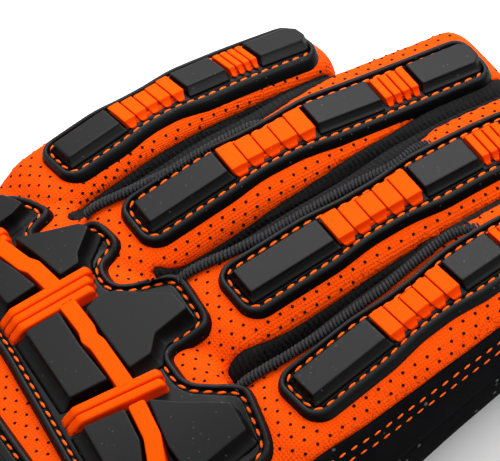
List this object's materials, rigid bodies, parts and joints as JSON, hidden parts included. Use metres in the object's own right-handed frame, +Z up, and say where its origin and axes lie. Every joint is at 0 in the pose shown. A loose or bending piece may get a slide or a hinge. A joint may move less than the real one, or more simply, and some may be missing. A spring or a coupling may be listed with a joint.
{
  "type": "impact work glove",
  "caption": "Left-hand work glove with a knitted back, leather palm and moulded rubber guards over the knuckles and fingers, lying palm down with the hollow of the hand open.",
  "frame": {"origin": "on the resting surface, under the middle of the glove's bounding box", "axes": "+Y from the cuff to the fingertips, +X to the thumb side, +Z up out of the back of the hand"},
  "size_m": [0.1586, 0.237, 0.0398],
  "materials": {
    "back_cloth": "perforated knit",
    "knit": "ribbed knit",
    "leather": "suede-like matt",
    "guard_rubber": "satin moulded rubber",
    "accent_rubber": "satin moulded rubber"
  },
  "bodies": {
    "root": {"back_panel": "back_cloth", "palm_panel": "leather", "index_side_panel": "leather", "thumb_back": "leather", "cuff": "knit", "fourchette_pinky_ring": "knit", "fourchette_ring_middle": "knit", "fourchette_middle_index": "knit", "pinky_guard": "guard_rubber", "pinky_knuckle_bars": "accent_rubber", "pinky_tip_ribs": "accent_rubber", "ring_guard": "guard_rubber", "ring_knuckle_bars": "accent_rubber", "ring_tip_ribs": "accent_rubber", "middle_guard": "guard_rubber", "middle_knuckle_bars": "accent_rubber", "middle_tip_ribs": "accent_rubber", "index_guard": "guard_rubber", "index_knuckle_bars": "accent_rubber", "index_tip_ribs": "accent_rubber", "knuckle_guard": "guard_rubber", "knuckle_lattice": "accent_rubber", "wrist_pad": "guard_rubber"}
  },
  "joints": []
}
